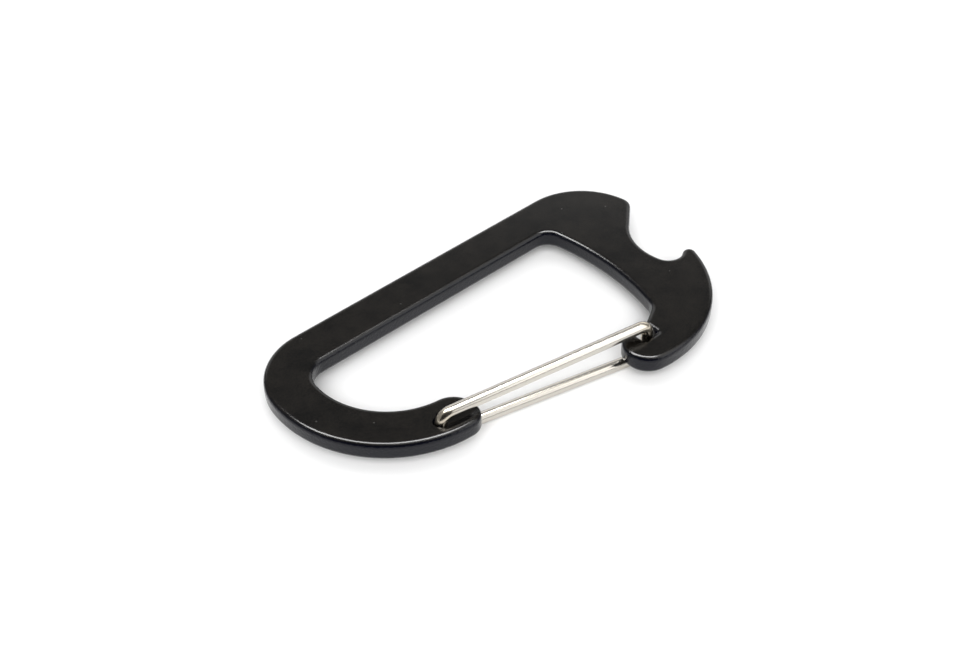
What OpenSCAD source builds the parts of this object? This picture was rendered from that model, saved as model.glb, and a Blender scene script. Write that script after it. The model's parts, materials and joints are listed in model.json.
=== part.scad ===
// Flat carabiner with a crown-cap opener in its large end and a sprung wire gate.
// The plate lies flat: +X runs along the spine towards the opener end, +Y from the gate to the spine,
// and +Z is up. The origin is the middle of the plate's own box.

/* [Frame plate] */
// Overall length of the plate along the spine
length = 80; // [70:0.5:100]
// Overall width of the plate, from the spine to the sole
width = 45; // [41:0.5:56]
// Thickness of the plate
thickness = 3.3; // [3:0.1:6]
// Width of the flat band that makes the spine and the small end
band_w = 7.9; // [6.5:0.1:9.5]
// Outer radius where the spine turns down at the small end
toe_corner_r = 12; // [10:0.5:15]
// Outer radius of the bow that carries the gate's hinge
bow_r = 22; // [20:0.5:27]
// How far round the small end, past level, the bow takes over from the corner, in degrees
bow_start = 7.5; // [0:0.5:15]
// Reach of the small end, from its outer edge to the rounded tip beyond the hinge
toe_reach = 24; // [23:0.1:30]
// Radius of the tip's outer corner
tip_outer_r = 3; // [1:0.1:4]
// Radius of the tip's inner corner
tip_inner_r = 4.4; // [2:0.1:4.6]

/* [Opener head] */
// Outer radius where the spine turns down at the large end
head_corner_r = 13; // [11:0.5:16]
// Distance from the opening to the outermost point of the large end
head_w = 15.7; // [13:0.1:19]
// Radius of the opening's long shallow wall in the large end
wall_r = 47; // [40:1:60]
// Height of that wall's deepest point above the middle of the plate
wall_mid_y = 2.3; // [0:0.1:5]
// Radius of the opening's corner between the spine and the head
inner_corner_r = 3; // [2:0.1:6]
// Radius of the sole, the outer curve from the opener's tooth round to the hook
sole_r = 22; // [20:0.5:26]
// How far the sole's circle stays back from the outermost point of the large end
sole_inset = 0.7; // [0:0.1:3]

/* [Crown cap opener] */
// Radius of the blunt lip that rests on top of the cap
lip_r = 2.3; // [1.5:0.1:3]
// Height of the lip's centre above the middle of the plate
lip_y = 11.35; // [9:0.05:13]
// Slope of the straight edge below the lip, in degrees
lip_slope = 42; // [35:1:50]
// Length of that straight edge
lip_edge = 5.65; // [4:0.05:7]
// Radius of the mouth's main curve
mouth_r = 10.1; // [9:0.1:12]
// Radius of the mouth's small curve behind the tooth
throat_r = 2.8; // [2.2:0.1:3.4]
// Direction in which the small curve leaves the main one, in degrees
throat_turn = 195.4; // [188:0.2:204]
// Radius of the tooth's tip
tooth_r = 1.2; // [0.6:0.1:1.5]

/* [Nose hook] */
// Radius of the hook's round end
hook_r = 4.3; // [3.5:0.1:5.5]
// Direction from the sole's centre to the hook's centre, in degrees
hook_turn = 261; // [258:0.1:266]
// Width of the slot in which the gate's end rests
slot_w = 3.35; // [2.8:0.05:4.5]
// How far the slot's hooked side stands back from the centre of the hook
slot_inset = 0.2; // [0:0.05:0.8]
// Depth of the slot's floor above the hook's centre
floor_rise = 0.5; // [0:0.05:1]
// Height of the slot's straight side above its floor
step_h = 3; // [1.5:0.05:3.5]
// Slope of the ramp that leads the gate into the slot, in degrees
ramp_slope = 28; // [20:1:50]
// Radius between the ramp and the wall of the opening
ramp_r = 3.5; // [1:0.5:4]
// Radius of the beak's tip and of the corner between the slot and the ramp
beak_r = 0.9; // [0.5:0.05:1]
// Radius of the corners of the slot's floor
floor_corner_r = 0.45; // [0.2:0.05:0.6]

/* [Wire gate] */
// Diameter of the gate's wire
wire_d = 2; // [1.6:0.1:2.4]
// Gap between each leg and the face of the plate
leg_gap = 0.7; // [0.3:0.05:1.2]
// Radius of the bend at the hinge, on the wire's centre line
hinge_bend_r = 1.9; // [1.3:0.1:2.4]
// Radius of the bends at the hook, on the wire's centre line
nose_bend_r = 1.6; // [1.3:0.1:2.2]
// Gap between the closed gate and the slot's floor
rest_gap = 0.1; // [0.05:0.01:0.3]
// How far the gate opens inwards, in degrees
open_angle = 30; // [10:1:35]

/* [Gate hinge] */
// Distance of the upper pivot from the tip of the small end
pivot_back = 6.9; // [6:0.1:9]
// Distance of the upper pivot from the bow's outer edge
pivot_edge = 3.1; // [2.4:0.1:4]
// Radial clearance of the upper pivot in its bore
bore_clearance = 0.1; // [0.02:0.01:0.1]
// How far the lower pivot stands ahead of the upper one, along the gate
stagger_along = 2.2; // [2.1:0.05:3]
// How far the lower pivot stands inside the upper one, across the gate
stagger_across = 1.6; // [1.2:0.05:2]
// Radial clearance of the lower pivot in its curved slot
slot_clearance = 0.15; // [0.1:0.01:0.25]
// Depth of the shallow relief under each leg, next to its pivot
relief_depth = 0.65; // [0.3:0.05:0.9]
// Width of the rim left outside each relief
relief_rim = 1.2; // [0.8:0.1:1.5]
// Web left between the lower pivot's slot and the upper relief
slot_web = 0.85; // [0.6:0.05:1.5]

/* [Hidden] */

arc_tolerance = 0.02; // how far the sides of an arc may leave its circle
round_fn = 64;        // sides of round holes and of the wire
pass = 1;             // how far a cutter runs past the faces that it cuts
pin_gap = 0.15;       // gap past the end of each pivot pin
relief_side = 0.9;    // width of the lower relief beyond the wire, on each side

half_t = thickness / 2;
wire_r = wire_d / 2;

function along(a) = [cos(a), sin(a)];
function bearing(v) = atan2(v[1], v[0]);

// Points of an arc; it runs anticlockwise when a1 is more than a0, and clockwise when it is less.
function arc(c, r, a0, a1) =
    let (step = 2 * acos(1 - arc_tolerance / r), n = ceil(abs(a1 - a0) / step))
    [for (i = [0:n]) c + r * along(a0 + (a1 - a0) * i / n)];

// Where two circles meet: side 1 is left of the way from c0 to c1, and side -1 is right of it.
function meet(c0, r0, c1, r1, side) =
    let (d = norm(c1 - c0), u = (c1 - c0) / d, a = (d * d + r0 * r0 - r1 * r1) / (2 * d))
    c0 + a * u + side * sqrt(r0 * r0 - a * a) * [-u[1], u[0]];

// Where the line through p along the unit vector u leaves the circle.
function leave(p, u, c, r) =
    let (b = (p - c) * u, q = (p - c) * (p - c) - r * r)
    p + (-b + sqrt(b * b - q)) * u;

// Small end: the bow's circle touches the end of the plate, and the corner's circle rolls inside it.
bow_c = [-length / 2 + bow_r, width / 2 - toe_corner_r - (bow_r - toe_corner_r) * sin(bow_start)];
bow_a = 180 - bow_start;
toe_c = bow_c + (bow_r - toe_corner_r) * along(bow_a);
tip_x = toe_reach - length / 2;
tip_outer_x = tip_x - tip_outer_r;
tip_outer_c = [tip_outer_x, bow_c[1] - sqrt(pow(bow_r - tip_outer_r, 2) - pow(tip_outer_x - bow_c[0], 2))];
tip_inner_x = tip_x - tip_inner_r;
bow_inner_r = bow_r - band_w;
tip_inner_c = [tip_inner_x, bow_c[1] - sqrt(pow(bow_inner_r + tip_inner_r, 2) - pow(tip_inner_x - bow_c[0], 2))];

// Large end: the head's corner rolls on the lip's circle, which touches the end of the plate.
lip_c = [length / 2 - lip_r, lip_y];
head_y = width / 2 - head_corner_r;
head_c = [lip_c[0] - sqrt(pow(head_corner_r - lip_r, 2) - pow(lip_y - head_y, 2)), head_y];
wall_c = [length / 2 - head_w - wall_r, wall_mid_y];
spine_y = width / 2 - band_w;
inner_y = spine_y - inner_corner_r;
inner_c = [wall_c[0] + sqrt(pow(wall_r - inner_corner_r, 2) - pow(inner_y - wall_mid_y, 2)), inner_y];
sole_c = [length / 2 - sole_inset - sole_r, sole_r - width / 2];

// Opener: straight lip edge, main curve, small curve and tooth, each tangent to the next.
mouth_c = lip_c + (lip_r + mouth_r) * along(lip_slope - 90) - lip_edge * along(lip_slope);
throat_c = mouth_c + (mouth_r - throat_r) * along(throat_turn);
tooth_c = meet(throat_c, throat_r + tooth_r, sole_c, sole_r - tooth_r, 1);

// Hook: a round end with a slot for the gate, and a ramp from the slot up to the opening's wall.
hook_c = sole_c + (sole_r - hook_r) * along(hook_turn);
slot_x0 = hook_c[0] - slot_inset;
slot_x1 = slot_x0 + slot_w;
floor_y = hook_c[1] + floor_rise;
step_p = [slot_x1, floor_y + step_h];
ramp_u = along(ramp_slope);
ramp_n = [-ramp_u[1], ramp_u[0]];
ramp_c = leave(step_p + ramp_r * ramp_n, ramp_u, wall_c, wall_r - ramp_r);
step_c = [step_p[0] + beak_r, step_p[1] + beak_r * (ramp_u[1] - 1) / ramp_u[0]];
beak_x = slot_x0 - beak_r;
beak_c = [beak_x, hook_c[1] + sqrt(pow(hook_r - beak_r, 2) - pow(beak_x - hook_c[0], 2))];

// Gate: upper pivot in the bow, closed end against the slot's floor, lower pivot staggered from the upper.
pivot_x = tip_x - pivot_back;
pivot = [pivot_x, bow_c[1] - sqrt(pow(bow_r - pivot_edge, 2) - pow(pivot_x - bow_c[0], 2))];
gate_end = [(slot_x0 + slot_x1) / 2, floor_y + rest_gap + wire_r];
gate_v = gate_end - pivot;
gate_u = gate_v / norm(gate_v);
lower_pivot = pivot + stagger_along * gate_u + stagger_across * [-gate_u[1], gate_u[0]];
stagger_r = norm(lower_pivot - pivot);
stagger_turn = bearing(lower_pivot - pivot);
leg_z = half_t + leg_gap + wire_r;
relief_z = half_t - relief_depth;
slot_top = relief_z - slot_web;

module plate_outline() {
    polygon(concat(
        arc(sole_c, sole_r, hook_turn, bearing(tooth_c - sole_c) + 360),
        arc(tooth_c, tooth_r, bearing(tooth_c - sole_c), bearing(throat_c - tooth_c)),
        arc(throat_c, throat_r, bearing(tooth_c - throat_c) + 360, throat_turn),
        arc(mouth_c, mouth_r, throat_turn, lip_slope + 90),
        arc(lip_c, lip_r, lip_slope - 90, bearing(lip_c - head_c)),
        arc(head_c, head_corner_r, bearing(lip_c - head_c), 90),
        arc(toe_c, toe_corner_r, 90, bow_a),
        arc(bow_c, bow_r, bow_a, bearing(tip_outer_c - bow_c) + 360),
        arc(tip_outer_c, tip_outer_r, bearing(tip_outer_c - bow_c), 0),
        arc(tip_inner_c, tip_inner_r, 0, bearing(bow_c - tip_inner_c)),
        arc(bow_c, bow_inner_r, bearing(tip_inner_c - bow_c) + 360, bow_a),
        arc(toe_c, toe_corner_r - band_w, bow_a, 90),
        arc(inner_c, inner_corner_r, 90, bearing(inner_c - wall_c)),
        arc(wall_c, wall_r, bearing(inner_c - wall_c), bearing(ramp_c - wall_c)),
        arc(ramp_c, ramp_r, bearing(ramp_c - wall_c), ramp_slope - 90),
        arc(step_c, beak_r, ramp_slope + 90, 180),
        arc([slot_x1 - floor_corner_r, floor_y + floor_corner_r], floor_corner_r, 0, -90),
        arc([slot_x0 + floor_corner_r, floor_y + floor_corner_r], floor_corner_r, -90, -180),
        arc(beak_c, beak_r, 0, bearing(beak_c - hook_c)),
        arc(hook_c, hook_r, bearing(beak_c - hook_c), hook_turn)
    ));
}

// Shallow relief in one face, from a pivot out past the tip; edge_r is its outer radius about the bow.
module relief(p, edge_r) {
    half_w = edge_r - norm(p - bow_c);
    start = bearing(p - bow_c) + 360;
    linear_extrude(relief_depth + pass)
        polygon(concat(
            arc(p, half_w, start + 180, start + 360),
            arc(bow_c, edge_r, start, start + 40),
            arc(bow_c, edge_r - 2 * half_w, start + 40, start)
        ));
}

module body() {
    color([0.13, 0.13, 0.14])
    difference() {
        translate([0, 0, -half_t])
            linear_extrude(thickness)
                plate_outline();
        translate([0, 0, relief_z])
            relief(pivot, bow_r - relief_rim);
        translate([0, 0, -half_t - pass])
            relief(lower_pivot, norm(lower_pivot - bow_c) + wire_r + relief_side);
        translate([pivot[0], pivot[1], -half_t - pass])
            cylinder(h = thickness + 2 * pass, r = wire_r + bore_clearance, $fn = round_fn);
        lower_slot();
    }
}

// Curved slot in the underside that lets the lower pivot travel as the gate opens.
module lower_slot() {
    slot_r = wire_r + slot_clearance;
    last_turn = stagger_turn + open_angle;
    translate([0, 0, -half_t - pass])
        linear_extrude(slot_top + half_t + pass)
            polygon(concat(
                arc(pivot, stagger_r + slot_r, stagger_turn, last_turn),
                arc(pivot + stagger_r * along(last_turn), slot_r, last_turn, last_turn + 180),
                arc(pivot, stagger_r - slot_r, last_turn, stagger_turn),
                arc(lower_pivot, slot_r, stagger_turn + 180, stagger_turn + 360)
            ));
}

// Quarter bend in the upright X-Z plane about p, which is [x, z], starting at a0 degrees.
module bend(p, r, a0) {
    translate([p[0], 0, p[1]])
        rotate([90, 0, 0])
            rotate([0, 0, a0])
                rotate_extrude(angle = 90, $fn = round_fn)
                    translate([r, 0])
                        circle(wire_r, $fn = round_fn);
}

// Upright wire at x, from z0 up to z1.
module upright(x, z0, z1) {
    translate([x, 0, z0])
        cylinder(h = z1 - z0, r = wire_r, $fn = round_fn);
}

// One leg, from the gate's closed end at x = 0 to its pivot pin: half the end, bend, leg, bend and pin.
module leg(reach, pin_z) {
    nose_bend_z = leg_z - nose_bend_r;
    hinge_bend_z = leg_z - hinge_bend_r;
    upright(0, 0, nose_bend_z);
    bend([nose_bend_r, nose_bend_z], nose_bend_r, 90);
    translate([nose_bend_r, 0, leg_z])
        rotate([0, 90, 0])
            cylinder(h = reach - nose_bend_r - hinge_bend_r, r = wire_r, $fn = round_fn);
    bend([reach - hinge_bend_r, hinge_bend_z], hinge_bend_r, 0);
    upright(reach, pin_z, hinge_bend_z);
}

module wire_gate() {
    lower_v = lower_pivot - gate_end;
    color([0.78, 0.77, 0.74])
    translate([gate_end[0], gate_end[1], 0]) {
        rotate([0, 0, bearing(-gate_v)])
            leg(norm(gate_v), pin_gap - relief_z);
        rotate([0, 0, bearing(lower_v)])
            mirror([0, 0, 1])
                leg(norm(lower_v), pin_gap - slot_top);
    }
}

body();
wire_gate();
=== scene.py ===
# %% [markdown]
# # A flat carabiner with a wire gate
# This lesson dresses a pocket carabiner: a black plate about as long as a finger, with a notch that lifts
# crown caps, and a gate bent from one piece of bright wire. The sizes were settled in CAD, so the lesson
# loads that model first and leaves it where it is. Each piece below is drawn in its own place in
# millimetres, as on a workshop drawing, and becomes an object in metres.

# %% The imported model
import json
import math

import bmesh
import bpy
from mathutils import Matrix, Vector


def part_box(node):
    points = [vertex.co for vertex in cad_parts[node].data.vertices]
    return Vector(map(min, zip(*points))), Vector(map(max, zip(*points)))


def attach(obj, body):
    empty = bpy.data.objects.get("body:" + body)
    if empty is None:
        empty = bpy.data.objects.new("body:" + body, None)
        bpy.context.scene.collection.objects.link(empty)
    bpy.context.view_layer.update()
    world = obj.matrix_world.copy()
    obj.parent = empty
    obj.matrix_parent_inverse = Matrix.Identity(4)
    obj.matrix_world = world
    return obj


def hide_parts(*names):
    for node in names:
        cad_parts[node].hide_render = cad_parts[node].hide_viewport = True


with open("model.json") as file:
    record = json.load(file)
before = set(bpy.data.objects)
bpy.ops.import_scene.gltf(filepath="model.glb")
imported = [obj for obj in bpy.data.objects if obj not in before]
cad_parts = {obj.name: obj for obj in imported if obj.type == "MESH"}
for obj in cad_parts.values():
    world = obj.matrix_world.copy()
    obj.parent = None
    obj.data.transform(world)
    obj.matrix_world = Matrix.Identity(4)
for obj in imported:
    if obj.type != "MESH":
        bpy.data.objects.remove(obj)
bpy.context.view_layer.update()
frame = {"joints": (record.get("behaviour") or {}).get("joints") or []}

MM = 0.001
plate_low, plate_high = (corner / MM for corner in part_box("body"))
print("plate", [round(v, 2) for v in plate_high - plate_low], "mm")

# %% [markdown]
# ## Drawing with arcs
# The plate is cut from sheet, so one closed outline says nearly all of it. That outline could be drawn as a
# curve and traced, but a designer draws such a part as arcs that touch each other smoothly, and Blender's
# spin does just that: it carries one vertex round a centre and leaves the edge behind it. A few small
# helpers give directions, angles and the places where circles meet.


# %% Directions, angles and meeting points
def along(degrees):
    """Unit vector that points that many degrees round from +X."""
    turn = math.radians(degrees)
    return Vector((math.cos(turn), math.sin(turn)))


def bearing(vector):
    """Angle of a vector in degrees, the reverse of along."""
    return math.degrees(math.atan2(vector.y, vector.x))


def left_of(way):
    """The same direction after a quarter turn to the left."""
    return Vector((-way.y, way.x))


def meeting(centre, radius, other, other_radius):
    """Where two circles meet, left of the way from centre to other."""
    way = other - centre
    step = (way.length_squared + radius**2 - other_radius**2) / (2 * way.length)
    side = math.sqrt(radius**2 - step**2)
    way.normalize()
    return centre + step * way + side * left_of(way)


def above(centre, radius, x):
    """How far a circle rises above its centre at x, or at y to the side of it."""
    return math.sqrt(radius**2 - (x - centre) ** 2)


# %% [markdown]
# ## The two ends of the plate
# A strip of metal 7.9 mm wide runs along the back and curls round the small end, where the gate is hinged.
# The large end is a broad head with the cap opener cut in it. Every centre could be read off a drawing, but
# most corners roll inside or outside the one before them, so their centres follow from two radii. Only the
# bow, the lip, the wall and the sole are given a place of their own.

# %% Centres of the small end
HALF_LENGTH, HALF_WIDTH, BAND = 40.0, 22.5, 7.9
TOE_R, BOW_R, BOW_START, BOW_Y = 12.0, 22.0, 172.5, 9.195
TIP_OUTER_R, TIP_INNER_R, TIP_REACH = 3.0, 4.4, 24.0

bow = Vector((BOW_R - HALF_LENGTH, BOW_Y))
toe = bow + (BOW_R - TOE_R) * along(BOW_START)
tip_x = plate_low.x + TIP_REACH
outer_x, inner_x = tip_x - TIP_OUTER_R, tip_x - TIP_INNER_R
tip_outer = Vector((outer_x, bow.y - above(bow.x, BOW_R - TIP_OUTER_R, outer_x)))
tip_inner = Vector((inner_x, bow.y - above(bow.x, BOW_R - BAND + TIP_INNER_R, inner_x)))
print("the bow is centred at", tuple(round(v, 2) for v in bow), "and its tip ends at x =", round(tip_x, 2))

# %% Centres of the large end
HEAD_R, LIP_R, INNER_R, WALL_R, SOLE_R = 13.0, 2.3, 3.0, 47.0, 22.0
LIP_Y, WALL_X, WALL_Y, SOLE_INSET = 11.35, 24.3, 2.3, 0.7

lip = Vector((HALF_LENGTH - LIP_R, LIP_Y))
head_y = HALF_WIDTH - HEAD_R
head = Vector((lip.x - above(head_y, HEAD_R - LIP_R, lip.y), head_y))
wall = Vector((WALL_X - WALL_R, WALL_Y))
inner_y = HALF_WIDTH - BAND - INNER_R
inner = Vector((wall.x + above(wall.y, WALL_R - INNER_R, inner_y), inner_y))
sole = Vector((HALF_LENGTH - SOLE_INSET - SOLE_R, SOLE_R - HALF_WIDTH))
print("head corner", tuple(round(v, 2) for v in head), "inner corner", tuple(round(v, 2) for v in inner))

# %% Centres of the cap opener
MOUTH_R, THROAT_R, TOOTH_R = 10.1, 2.8, 1.2
LIP_SLOPE, LIP_EDGE, THROAT_TURN = 42.0, 5.65, 195.4

mouth = lip + (LIP_R + MOUTH_R) * along(LIP_SLOPE - 90) - LIP_EDGE * along(LIP_SLOPE)
throat = mouth + (MOUTH_R - THROAT_R) * along(THROAT_TURN)
tooth = meeting(throat, THROAT_R + TOOTH_R, sole, SOLE_R - TOOTH_R)
print("mouth", tuple(round(v, 2) for v in mouth), "tooth", tuple(round(v, 2) for v in tooth))

# %% Centres of the hook
HOOK_R, HOOK_TURN, BEAK_R, FLOOR_R = 4.3, 261.0, 0.9, 0.45
SLOT_INSET, SLOT_WIDTH, FLOOR_RISE, STEP_HEIGHT = 0.2, 3.35, 0.5, 3.0
RAMP_R, RAMP_SLOPE = 3.5, 28.0

hook = sole + (SOLE_R - HOOK_R) * along(HOOK_TURN)
slot_left = hook.x - SLOT_INSET
slot_right = slot_left + SLOT_WIDTH
slot_floor = hook.y + FLOOR_RISE
print("hook", tuple(round(v, 2) for v in hook), "slot", round(slot_left, 2), "to", round(slot_right, 2))

# %% Centres beside the slot
step_top = Vector((slot_right, slot_floor + STEP_HEIGHT))
ramp_way = along(RAMP_SLOPE)
step = step_top + BEAK_R * Vector((1, (ramp_way.y - 1) / ramp_way.x))
beak_x = slot_left - BEAK_R
beak = Vector((beak_x, hook.y + above(hook.x, HOOK_R - BEAK_R, beak_x)))
start = step_top + RAMP_R * left_of(ramp_way)
back = (start - wall) @ ramp_way
reach = math.sqrt(back**2 - (start - wall).length_squared + (WALL_R - RAMP_R) ** 2) - back
ramp = start + reach * ramp_way
print("beak", tuple(round(v, 2) for v in beak), "ramp", tuple(round(v, 2) for v in ramp))

# %% [markdown]
# ## One closed line
# Each row below is one arc: its name, its centre, its radius, and the angles where it starts and ends. The
# line runs with the metal on its left, so an arc that turns anticlockwise is a bulge and one that turns
# clockwise is a hollow. Where one arc ends short of the next, a straight edge joins them.

# %% The outline's arcs
OUTLINE = [
    ("sole", sole, SOLE_R, HOOK_TURN, bearing(tooth - sole) + 360),
    ("tooth", tooth, TOOTH_R, bearing(tooth - sole), bearing(throat - tooth)),
    ("throat", throat, THROAT_R, bearing(tooth - throat) + 360, THROAT_TURN),
    ("mouth", mouth, MOUTH_R, THROAT_TURN, LIP_SLOPE + 90),
    ("lip", lip, LIP_R, LIP_SLOPE - 90, bearing(lip - head)),
    ("head", head, HEAD_R, bearing(lip - head), 90),
    ("toe", toe, TOE_R, 90, BOW_START),
    ("bow", bow, BOW_R, BOW_START, bearing(tip_outer - bow) + 360),
    ("tip, outside", tip_outer, TIP_OUTER_R, bearing(tip_outer - bow), 0),
    ("tip, inside", tip_inner, TIP_INNER_R, 0, bearing(bow - tip_inner)),
    ("bow, inside", bow, BOW_R - BAND, bearing(tip_inner - bow) + 360, BOW_START),
    ("toe, inside", toe, TOE_R - BAND, BOW_START, 90),
    ("inner corner", inner, INNER_R, 90, bearing(inner - wall)),
    ("wall", wall, WALL_R, bearing(inner - wall), bearing(ramp - wall)),
    ("ramp", ramp, RAMP_R, bearing(ramp - wall), RAMP_SLOPE - 90),
    ("step", step, BEAK_R, RAMP_SLOPE + 90, 180),
    ("slot, right", Vector((slot_right - FLOOR_R, slot_floor + FLOOR_R)), FLOOR_R, 0, -90),
    ("slot, left", Vector((slot_left + FLOOR_R, slot_floor + FLOOR_R)), FLOOR_R, -90, -180),
    ("beak", beak, BEAK_R, 0, bearing(beak - hook)),
    ("hook", hook, HOOK_R, bearing(beak - hook), HOOK_TURN),
]
print(len(OUTLINE), "arcs make the outline")


# %% Spinning the line round
def draw_arcs(bm, arcs, chord=0.55, facet=10):
    """Draws arcs one after another with spin, and closes the line.

    No edge of an arc is longer than chord, in millimetres, or turns by more than facet, in degrees.
    """
    _, centre, radius, begin, _ = arcs[0]
    first = pen = bm.verts.new((centre + radius * along(begin)).to_3d())
    for _, centre, radius, begin, end in arcs:
        place = (centre + radius * along(begin)).to_3d()
        if (pen.co - place).length > 0.001:
            pen = extend(bm, pen, place)
        turn = math.radians(end - begin)
        steps = max(3, math.ceil(abs(turn) * radius / chord), math.ceil(abs(end - begin) / facet))
        spun = bmesh.ops.spin(bm, geom=[pen], cent=centre.to_3d(), axis=(0, 0, 1), angle=turn, steps=steps)
        pen = next(v for v in spun["geom_last"] if isinstance(v, bmesh.types.BMVert))
    extend(bm, pen, first.co)
    bmesh.ops.remove_doubles(bm, verts=bm.verts, dist=0.002)


def extend(bm, vert, place):
    """Carries a vertex on to place with a straight edge behind it."""
    grown = bmesh.ops.extrude_vert_indiv(bm, verts=[vert])["verts"][0]
    grown.co = place
    return grown


# %% [markdown]
# ## From line to plate
# Filling the line gives one large face, and an extrusion gives it the sheet's thickness. The real plate is
# tumbled, so its edges are rolled over by about 0.85 mm above and below. Solidify and Bevel modifiers could
# do both, but the hinge is cut next and needs a finished mesh, so the bmesh operators do it at once. Two
# extra cuts just inside the bevels, and a hair-thin inset on each face, keep the flat walls and faces
# shading flat, because a smooth normal is shared by all the faces round a vertex.

# %% Plate with rolled edges
EDGE_R, GUARD, HAIR = 0.85, 0.03, 0.02
half_t = plate_high.z


def make_slab(arcs, low, high):
    """Solid between two heights, with a line of arcs as its outline."""
    bm = bmesh.new()
    draw_arcs(bm, arcs)
    bmesh.ops.contextual_create(bm, geom=bm.edges[:])
    bmesh.ops.translate(bm, verts=bm.verts, vec=(0, 0, low))
    grown = bmesh.ops.extrude_face_region(bm, geom=bm.faces[:])
    top = [v for v in grown["geom"] if isinstance(v, bmesh.types.BMVert)]
    bmesh.ops.translate(bm, verts=top, vec=(0, 0, high - low))
    bmesh.ops.recalc_face_normals(bm, faces=bm.faces)
    return bm


def make_plate():
    bm = make_slab(OUTLINE, -half_t, half_t)
    rims = [e for e in bm.edges if abs(e.verts[0].co.z - e.verts[1].co.z) < 0.01]
    bmesh.ops.bevel(bm, geom=rims, offset=EDGE_R, offset_type="OFFSET", segments=7, profile=0.5,
                    affect="EDGES", clamp_overlap=False, material=-1)
    for height in (half_t - EDGE_R - GUARD, EDGE_R + GUARD - half_t):
        bmesh.ops.bisect_plane(bm, geom=bm.verts[:] + bm.edges[:] + bm.faces[:], dist=0.0001,
                               plane_co=(0, 0, height), plane_no=(0, 0, 1))
    flats = [f for f in bm.faces if len(f.verts) > 60]  # only the upper and lower face have so many
    bmesh.ops.inset_individual(bm, faces=flats, thickness=HAIR)
    return bm


plate_bm = make_plate()
print("plate:", len(plate_bm.faces), "faces,", round(plate_bm.calc_volume(), 1), "cubic mm")

# %% [markdown]
# ## Cutting the hinge
# The gate's two ends sit in the small end of the plate, one from above and one from below. A drill makes
# the upper bore, and a shallow trough beside it lets the wire's bend lie low and swing. Below, a second
# trough and a short curved slot do the same for the lower end. The holes could be part of the outline, but
# they differ from one face to the other, so each is a solid of its own that is taken away. The upper two
# need a sloping side, so a profile is drawn in the upright plane, as for a lathe, and spun. The lower two
# have plain walls, so they are slabs drawn from arcs, like the plate. The Boolean modifier takes each out
# of the plate, and its result becomes a plain mesh.


# %% Lathe and knife
def to_object(bm, name):
    """Turns a bmesh in millimetres into an object in metres."""
    bmesh.ops.scale(bm, verts=bm.verts, vec=(MM, MM, MM))
    mesh = bpy.data.meshes.new(name)
    bm.to_mesh(mesh)
    bm.free()
    obj = bpy.data.objects.new(name, mesh)
    bpy.context.scene.collection.objects.link(obj)
    return obj


def swept(profile, centre, begin, sweep, steps=24):
    """Cutter made by carrying a closed profile of (radius, height) pairs part of the way round centre."""
    bm = bmesh.new()
    corners = [bm.verts.new((*(centre + r * along(begin)), z)) for r, z in profile]
    face = bm.faces.new(corners)
    bmesh.ops.spin(bm, geom=[face, *face.edges, *corners], cent=centre.to_3d(), axis=(0, 0, 1),
                   angle=math.radians(sweep), steps=steps)
    bmesh.ops.recalc_face_normals(bm, faces=bm.faces)
    return to_object(bm, "cutter")


def turned(profile, centre, steps=48):
    """Cutter made by a full turn of an open profile that starts and ends on the axis."""
    bm = bmesh.new()
    corners = [bm.verts.new((centre.x + r, centre.y, z)) for r, z in profile]
    edges = [bm.edges.new(pair) for pair in zip(corners, corners[1:])]
    bmesh.ops.spin(bm, geom=[*corners, *edges], cent=centre.to_3d(), axis=(0, 0, 1), angle=math.tau,
                   steps=steps, use_merge=True)
    bmesh.ops.remove_doubles(bm, verts=bm.verts, dist=0.0005)
    bmesh.ops.recalc_face_normals(bm, faces=bm.faces)
    return to_object(bm, "cutter")


def cut(body, cutter):
    """Takes the cutter out of the body and throws the cutter away."""
    knife = body.modifiers.new("cut", "BOOLEAN")
    knife.operation, knife.solver, knife.object = "DIFFERENCE", "EXACT", cutter
    seen = body.evaluated_get(bpy.context.evaluated_depsgraph_get())
    mesh = bpy.data.meshes.new_from_object(seen)
    body.modifiers.clear()
    body.data = mesh
    bpy.data.objects.remove(cutter)


# %% Places of the hinge
WIRE_R, REST_GAP = 1.0, 0.1
STAGGER_ALONG, STAGGER_ASIDE = 2.2, 1.6

pivot = Vector(frame["joints"][0]["pos_m"]).to_2d() / MM
pivot_turn = bearing(pivot - bow)
pivot_out = (pivot - bow).length
gate_end = Vector(((slot_left + slot_right) / 2, slot_floor + REST_GAP + WIRE_R))
gate_way = (gate_end - pivot).normalized()
lower_pivot = pivot + STAGGER_ALONG * gate_way + STAGGER_ASIDE * left_of(gate_way)
print("gate pivot", tuple(round(v, 2) for v in pivot), "lower end", tuple(round(v, 2) for v in lower_pivot))

# %% Bore and upper trough
PASS = 1.0  # how far a cutter reaches beyond the plate
BORE_R, SINK_R, SINK = 1.12, 1.3, 0.5
TROUGH_Z, TROUGH_HALF, TROUGH_SWEEP, RIM, SLOPE = 1.0, 1.9, 38, 1.2, 1.2
FLARE_OUT, FLARE_UP = 0.4, 0.22

plate = to_object(plate_bm, "frame_plate")
trough_in, trough_out = pivot_out - TROUGH_HALF, BOW_R - RIM
flare_out = trough_out + FLARE_OUT
trough = [(trough_in, TROUGH_Z), (trough_out - SLOPE, TROUGH_Z), (trough_out, half_t),
          (flare_out, half_t + FLARE_UP), (flare_out, half_t + PASS), (trough_in, half_t + PASS)]
cut(plate, swept(trough, bow, pivot_turn, TROUGH_SWEEP))
bore = [(0, -half_t - PASS), (BORE_R, -half_t - PASS), (BORE_R, half_t - SINK), (SINK_R, half_t),
        (SINK_R, half_t + PASS), (0, half_t + PASS)]
cut(plate, turned(bore, pivot))
print("plate with its bore and trough:", len(plate.data.polygons), "faces")

# %% Lower trough and curved slot
OPENING, SLOT_R, SLOT_TOP = 30, 1.15, 0.15

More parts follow.
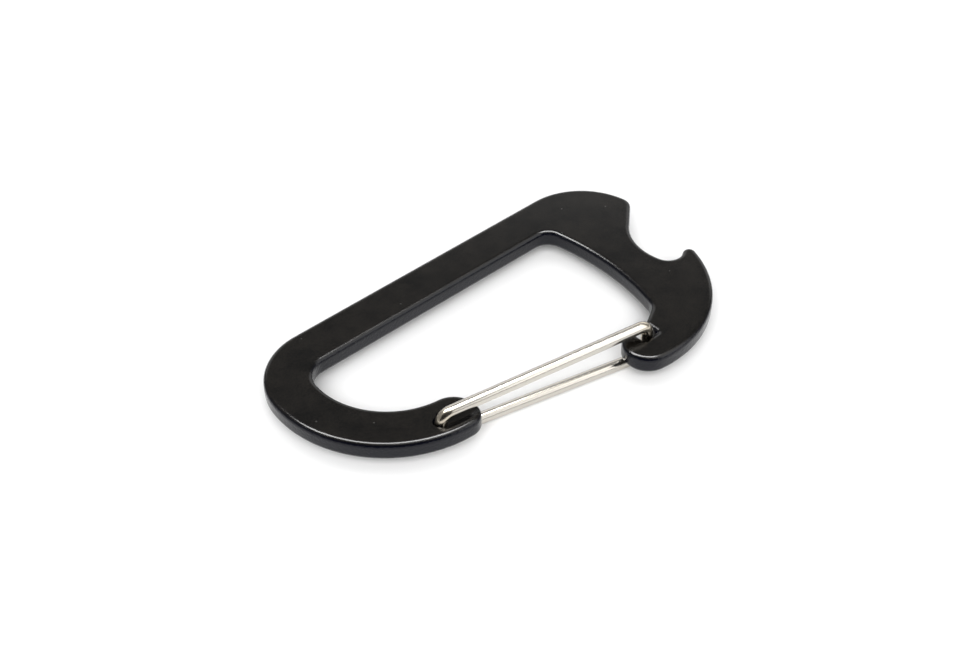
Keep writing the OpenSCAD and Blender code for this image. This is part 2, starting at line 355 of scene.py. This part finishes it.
stagger = lower_pivot - pivot
closed, swing = bearing(stagger), stagger.length
opened = closed + OPENING
lower_out, lower_turn = (lower_pivot - bow).length, bearing(lower_pivot - bow) + 360
lower_trough = [
    ("round end", lower_pivot, TROUGH_HALF, lower_turn + 180, lower_turn + 360),
    ("outside", bow, lower_out + TROUGH_HALF, lower_turn, lower_turn + TROUGH_SWEEP),
    ("inside", bow, lower_out - TROUGH_HALF, lower_turn + TROUGH_SWEEP, lower_turn),
]
slot = [
    ("far side", pivot, swing + SLOT_R, closed, opened),
    ("opened end", pivot + swing * along(opened), SLOT_R, opened, opened + 180),
    ("near side", pivot, swing - SLOT_R, opened, closed),
    ("closed end", lower_pivot, SLOT_R, closed + 180, closed + 360),
]
cut(plate, to_object(make_slab(lower_trough, -half_t - PASS, -TROUGH_Z), "cutter"))
cut(plate, to_object(make_slab(slot, -half_t - PASS, SLOT_TOP), "cutter"))
print("plate with all its cuts:", len(plate.data.polygons), "faces")

# %% [markdown]
# ## Bending the wire
# The gate is a single length of spring wire. Its shape could be a curve with a round bevel, but the same
# spin that drew the outline also bends wire the way a bench tool does: a ring of edges is pushed straight,
# then turned about a centre, then pushed again, so each bend has a true radius.


# %% A ring that travels
class Bender:
    """Feeds a ring of edges forward and round bends, as a wire bender does."""

    def __init__(self, bm, place, way, sides=32):
        self.bm, self.place, self.way = bm, Vector(place), Vector(way).normalized()
        turn = self.way.to_track_quat("Z", "Y").to_matrix().to_4x4()
        ring = bmesh.ops.create_circle(bm, segments=sides, radius=WIRE_R, cap_ends=True,
                                       matrix=Matrix.Translation(self.place) @ turn)["verts"]
        self.edges = [e for e in bm.edges if e.verts[0] in ring and e.verts[1] in ring]

    def feed(self, distance):
        grown = bmesh.ops.extrude_edge_only(self.bm, edges=self.edges)["geom"]
        bmesh.ops.translate(self.bm, verts=[v for v in grown if isinstance(v, bmesh.types.BMVert)],
                            vec=self.way * distance)
        self.edges = [e for e in grown if isinstance(e, bmesh.types.BMEdge)]
        self.place += self.way * distance

    def bend(self, towards, radius, steps=14):
        """Bends until the wire points towards a new direction."""
        new = Vector(towards).normalized()
        axis = self.way.cross(new).normalized()
        angle = self.way.angle(new)
        centre = self.place + radius * axis.cross(self.way)
        spun = bmesh.ops.spin(self.bm, geom=self.edges, cent=centre, axis=axis, angle=angle, steps=steps)
        self.edges = [e for e in spun["geom_last"] if isinstance(e, bmesh.types.BMEdge)]
        self.place = centre + Matrix.Rotation(angle, 3, axis) @ (self.place - centre)
        self.way = new

    def stop(self):
        bmesh.ops.edgeloop_fill(self.bm, edges=self.edges)


# %% [markdown]
# ## The gate
# Both ends of the wire point at the plate, one down and one up, and they aren't in line: that stagger is
# what makes a real gate spring shut, because opening it twists the two legs. The legs spread a little
# from the hinge to the hook. The lengths below follow from the two ends and the corners between them.

# %% Gate wire
HINGE_BEND, NOSE_BEND = 1.9, 1.6
HINGE_Z, NOSE_Z, PIN_FOOT = 2.95, 3.35, -0.85


def leg_ways(pin, side):
    """Directions and straight length of one leg, from its pin to the gate's closed end."""
    low = Vector((*pin, side * HINGE_Z))
    high = Vector((*gate_end, side * NOSE_Z))
    return low, high, (high - low).normalized(), (high - low).length


def corner(angle, radius):
    """How much of each side of a corner its bend uses up."""
    return radius * math.tan(angle / 2)


def make_gate():
    bm = bmesh.new()
    up, down = Vector((0, 0, 1)), Vector((0, 0, -1))
    knee, nose, way, run = leg_ways(pivot, 1)
    lower_knee, lower_nose, lower_way, lower_run = leg_ways(lower_pivot, -1)
    first = corner(up.angle(way), HINGE_BEND)
    second = corner(way.angle(down), NOSE_BEND)
    third = corner(down.angle(-lower_way), NOSE_BEND)
    fourth = corner((-lower_way).angle(up), HINGE_BEND)
    wire = Bender(bm, (*pivot, PIN_FOOT), up)
    wire.feed(knee.z - PIN_FOOT - first)
    wire.bend(way, HINGE_BEND)
    wire.feed(run - first - second)
    wire.bend(down, NOSE_BEND)
    wire.feed(nose.z - lower_nose.z - second - third)
    wire.bend(-lower_way, NOSE_BEND)
    wire.feed(lower_run - third - fourth)
    wire.bend(up, HINGE_BEND)
    wire.feed(-lower_knee.z - fourth)
    wire.stop()
    bmesh.ops.recalc_face_normals(bm, faces=bm.faces)
    return bm


gate = to_object(make_gate(), "gate_wire")
print("gate:", len(gate.data.polygons), "faces")

# %% [markdown]
# ## Smooth where it is round
# Every face is shaded smooth, and edges sharper than 20 degrees stay crisp, such as the rim of the bore.

# %% Shading
for piece in (plate, gate):
    for polygon in piece.data.polygons:
        polygon.use_smooth = True
    piece.data.set_sharp_from_angle(angle=math.radians(20))


# %% [markdown]
# ## Writing materials as sums
# A shader is easier to read as arithmetic than as a page of node links. The class below wraps a socket, so
# that `1 - mask` or `grain * 0.3` adds the Math node for it. `put` adds any other kind of node, and `into`
# links a finished value to the shader. Images of scratched metal would be the other way, but nodes need no
# unwrapping and stay sharp from any distance.


# %% Sockets that add up
class Shade:
    """An output socket that takes part in arithmetic."""

    def __init__(self, tree, socket=None):
        self.tree, self.socket = tree, socket

    def put(self, kind, settings, sockets, output=0):
        """Adds a node: its settings first, then the values or links of its sockets."""
        node = self.tree.nodes.new(kind)
        for name, value in settings.items():
            setattr(node, name, value)
        for name, value in sockets.items():
            if isinstance(value, Shade):
                self.tree.links.new(value.socket, node.inputs[name])
            else:
                node.inputs[name].default_value = value
        return Shade(self.tree, node.outputs[output])

    def sum(self, operation, first, second):
        return self.put("ShaderNodeMath", {"operation": operation}, {0: first, 1: second})

    def __add__(self, other):
        return self.sum("ADD", self, other)

    def __sub__(self, other):
        return self.sum("SUBTRACT", self, other)

    def __rsub__(self, other):
        return self.sum("SUBTRACT", other, self)

    def __mul__(self, other):
        return self.sum("MULTIPLY", self, other)

    __radd__, __rmul__ = __add__, __mul__

    def between(self, low, high):
        """Rises smoothly from 0 at low to 1 at high."""
        return self.put("ShaderNodeMapRange", {"interpolation_type": "SMOOTHSTEP"},
                        {"Value": self, "From Min": low, "From Max": high})

    def tint(self, first, second):
        """Colour that goes from first to second as this value rises."""
        return self.put("ShaderNodeMix", {"data_type": "RGBA"}, {0: self, 6: first, 7: second}, output=2)

    def into(self, shader, name):
        """Links this value to one of a shader's own sockets."""
        self.tree.links.new(self.socket, shader.inputs[name])


def new_material(name):
    """Material with a Principled shader: returns it, its shader node and a Shade to build with."""
    material = bpy.data.materials.new(name)
    material.use_nodes = True
    shader = material.node_tree.nodes["Principled BSDF"]
    return material, shader, Shade(material.node_tree)


def noise(ink, place, scale, detail, roughness=0.5):
    """Soft random values, with about scale of them to the metre."""
    return ink.put("ShaderNodeTexNoise", {},
                   {"Vector": place, "Scale": scale, "Detail": detail, "Roughness": roughness})


def bumps(ink, height, strength, distance):
    """Normal of a surface that rises and sinks with height, up to distance in metres."""
    return ink.put("ShaderNodeBump", {}, {"Strength": strength, "Distance": distance, "Height": height})


# %% [markdown]
# ## Black anodised finish
# Anodised aluminium is a dyed glassy skin over blasted metal. It looks almost black from above, and its
# edges catch the light in a thin line. A plain black would do from afar. Near by, the grain of the blasting
# mottles the faces a little and breaks up the reflection, so it goes in the colour, the bump and the
# roughness. The rolled edges rub against keys, so a coarser noise knocks them about more than the faces,
# and a mask on the surface's own direction tells the two apart. The same mask paints the walls and rolled
# edges a bluish black, a painted reflection of the bluish grey that they mirror. A few pale specks of dust
# are scattered by keeping only the very centres of Voronoi cells, and only in some of the cells.

# %% Grain, dust and the mask of the flat faces
GRAIN, CLOUD, CELLS, KNOCKS = 3600.0, 240.0, 620.0, 2200.0

black, shader, ink = new_material("black_coating")
place = ink.put("ShaderNodeTexCoord", {}, {}, output="Object")
grain = noise(ink, place, GRAIN, 3.0, 0.6)
cloud = noise(ink, place, CLOUD, 5.0, 0.65)
cell, lot = (ink.put("ShaderNodeTexVoronoi", {}, {"Vector": place, "Scale": CELLS, "Randomness": 1.0},
                     output=name) for name in ("Distance", "Color"))
chosen = ink.put("ShaderNodeSeparateColor", {}, {"Color": lot}, output="Red").between(0.86, 0.90)
speck = (1 - cell.between(0.05, 0.13)) * chosen
facing = ink.put("ShaderNodeTexCoord", {}, {}, output="Normal")
upward = ink.put("ShaderNodeSeparateXYZ", {}, {"Vector": facing}, output="Z")
flat = ink.put("ShaderNodeMath", {"operation": "ABSOLUTE"}, {0: upward}).between(0.5, 0.97)
print("patterns of the black coating:", len(black.node_tree.nodes), "nodes")

# %% Black coating
DEEP, BROWNISH = (0.0006, 0.0005, 0.0004, 1), (0.0095, 0.0078, 0.0060, 1)
# The bluish black for walls and rolled edges is a painted reflection of the bluish grey they mirror.
BLUISH_WALL_REFLECTION, DUST = (0.0012, 0.0016, 0.0044, 1), (0.16, 0.16, 0.15, 1)

mottled = (cloud * 0.4 + grain * 0.6).between(0.38, 0.62).tint(DEEP, BROWNISH)
# Walls and rolled edges take the painted bluish reflection colour, and the faces take the mottled colour.
# Pale specks go on top of both.
(speck * 0.3).tint(flat.tint(BLUISH_WALL_REFLECTION, mottled), DUST).into(shader, "Base Color")
(0.11 + flat * 0.03 + cloud * 0.06 + grain * 0.05).into(shader, "Roughness")
knocks = noise(ink, place, KNOCKS, 2.0, 0.6)
height = grain * 0.03 + (1 - flat) * (knocks * 0.7 + grain * 0.2) + speck * 0.04
bumps(ink, height, 0.5, 0.0002).into(shader, "Normal")
shader.inputs["IOR"].default_value = 1.5
shader.inputs["Specular IOR Level"].default_value = 0.28
plate.data.materials.clear()
plate.data.materials.append(black)
print("black coating:", len(black.node_tree.nodes), "nodes")

# %% [markdown]
# ## Bright nickel wire
# Drawn wire keeps faint lines along its length from the die, and nickel plating gives it a warm grey
# mirror. An anisotropic shader could hint at the lines, but noise that is stretched along the legs draws
# them, in the bump and the roughness. The bends are a touch yellower, where forming stretched the plating,
# so a mask that rises near each end of the gate warms them.

# %% Nickel wire
LINES, SMUDGES, BEND_REACH, BEND_BACK = (60.0, 5200.0, 5200.0), 240.0, 3.5, 0.5
STRAIGHT, FORMED = (0.57, 0.54, 0.49, 1), (0.62, 0.54, 0.41, 1)

nickel, shader, ink = new_material("nickel_wire")
place = ink.put("ShaderNodeTexCoord", {}, {}, output="Object")
along_legs = ink.put("ShaderNodeMapping", {}, {"Vector": place, "Scale": LINES,
                     "Rotation": (0.0, 0.0, -math.radians(bearing(gate_way)))})
lines = noise(ink, along_legs, 1.0, 3.0, 0.6)
smudge = noise(ink, place, SMUDGES, 3.0)
x = ink.put("ShaderNodeSeparateXYZ", {}, {"Vector": place}, output="X")
nose_bends = x.between((gate_end.x - BEND_REACH) * MM, gate_end.x * MM)
hinge_bends = 1 - x.between((pivot.x - BEND_BACK) * MM, (pivot.x + BEND_REACH) * MM)
((nose_bends + hinge_bends) * 0.6).tint(STRAIGHT, FORMED).into(shader, "Base Color")
(0.16 + smudge * 0.08 + lines * 0.05).into(shader, "Roughness")
bumps(ink, lines, 0.05, 0.00002).into(shader, "Normal")
shader.inputs["Metallic"].default_value = 1.0
gate.data.materials.clear()
gate.data.materials.append(nickel)
print("nickel wire:", len(nickel.node_tree.nodes), "nodes")

# %% [markdown]
# ## Riding on the frame
# Each piece takes the place of its CAD node and turns with that node's body, so the gate opens with the
# hinge.

# %% Pieces and bodies
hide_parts("body")
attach(plate, "frame")
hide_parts("wire_gate")
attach(gate, "gate")

# %% [markdown]
# ## Table, light and camera
# The carabiner lies on a white table in a small studio. One large lamp could light it all, but black metal
# shows only what it mirrors, while the table shows only how much light falls on it. So the lights are split
# by their work. The fill and the ceiling whiten the table and can't be seen in the metal. The other three
# are seen only in the metal: the strip overhead draws the thin line along the rolled edges that lean towards
# the camera, the window on the right lights the top of the wire, and the far card gives the plate's upper
# face a faint sheen. A black card behind the camera keeps the band below the thin line dark.

# %% White table
TABLE_HALF, TABLE_GAP = 1500, 0.02

bm = bmesh.new()
bmesh.ops.create_grid(bm, x_segments=1, y_segments=1, size=TABLE_HALF)
bmesh.ops.translate(bm, verts=bm.verts, vec=(0, 0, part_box("wire_gate")[0].z / MM - TABLE_GAP))
floor = to_object(bm, "floor")
white, shader, _ = new_material("white_table")
shader.inputs["Base Color"].default_value = (0.9, 0.9, 0.9, 1)
shader.inputs["Roughness"].default_value = 0.7
floor.data.materials.append(white)


# %% Lights
def aim(obj, place, target):
    obj.location = place
    obj.rotation_euler = (Vector(target) - Vector(place)).to_track_quat("-Z", "Y").to_euler()


def soft_light(name, place, size, radiance, diffuse=True, glossy=True):
    """Rectangular light on the origin that looks equally bright at any size and distance."""
    data = bpy.data.lights.new(name, "AREA")
    data.shape, data.size, data.size_y = "RECTANGLE", *size
    data.energy = radiance * math.pi * size[0] * size[1]
    lamp = bpy.data.objects.new(name, data)
    bpy.context.scene.collection.objects.link(lamp)
    aim(lamp, place, (0, 0, 0))
    lamp.visible_camera, lamp.visible_diffuse, lamp.visible_glossy = False, diffuse, glossy
    return lamp


soft_light("window", (0.23, -0.40, 0.55), (0.65, 1.25), 1.9, diffuse=False)
soft_light("fill", (-0.82, -0.88, 1.22), (1.5, 1.0), 7.6, glossy=False)
soft_light("ceiling", (0, 0, 1.3), (2.2, 2.2), 0.5, glossy=False)
soft_light("far_card", (0.65, 0.70, 0.36), (1.8, 0.52), 1.0, diffuse=False)
strip = soft_light("strip", (-0.024, 0.194, 0.9), (0.9, 0.25), 30.0, diffuse=False)
strip.rotation_euler = (0, 0, math.radians(-43))

# %% Black card
CARD_TURN, CARD_TILT, CARD_AWAY, CARD_HALF = -133, 55, 450, (300, 420)

bm = bmesh.new()
bmesh.ops.create_grid(bm, x_segments=1, y_segments=1, size=1)
bmesh.ops.transform(bm, verts=bm.verts, matrix=Matrix.Rotation(math.radians(CARD_TURN), 4, "Z")
                    @ Matrix.Rotation(math.radians(CARD_TILT), 4, "Y")
                    @ Matrix.Translation((0, 0, CARD_AWAY)) @ Matrix.Diagonal((*CARD_HALF, 1, 1)))
card = to_object(bm, "black_card")
matt, shader, _ = new_material("black_card")
shader.inputs["Base Color"].default_value = (0.002, 0.002, 0.002, 1)
shader.inputs["Specular IOR Level"].default_value = 0.0
card.data.materials.append(matt)
card.visible_camera = card.visible_diffuse = card.visible_shadow = False

# %% World and view
world = bpy.data.worlds.new("studio")
world.use_nodes = True
world.node_tree.nodes["Background"].inputs["Color"].default_value = (1.0, 1.0, 1.0, 1)
world.node_tree.nodes["Background"].inputs["Strength"].default_value = 0.3
bpy.context.scene.world = world
bpy.context.scene.view_settings.view_transform = "Standard"

# %% Camera
lens = bpy.data.cameras.new("camera")
lens.lens, lens.sensor_width = 53.9, 36.0
lens.clip_start = 0.01
camera = bpy.data.objects.new("camera", lens)
bpy.context.scene.collection.objects.link(camera)
aim(camera, (-0.12437, -0.13249, 0.16546), (0.000278, 0.005075, -0.001885))
bpy.context.scene.camera = camera
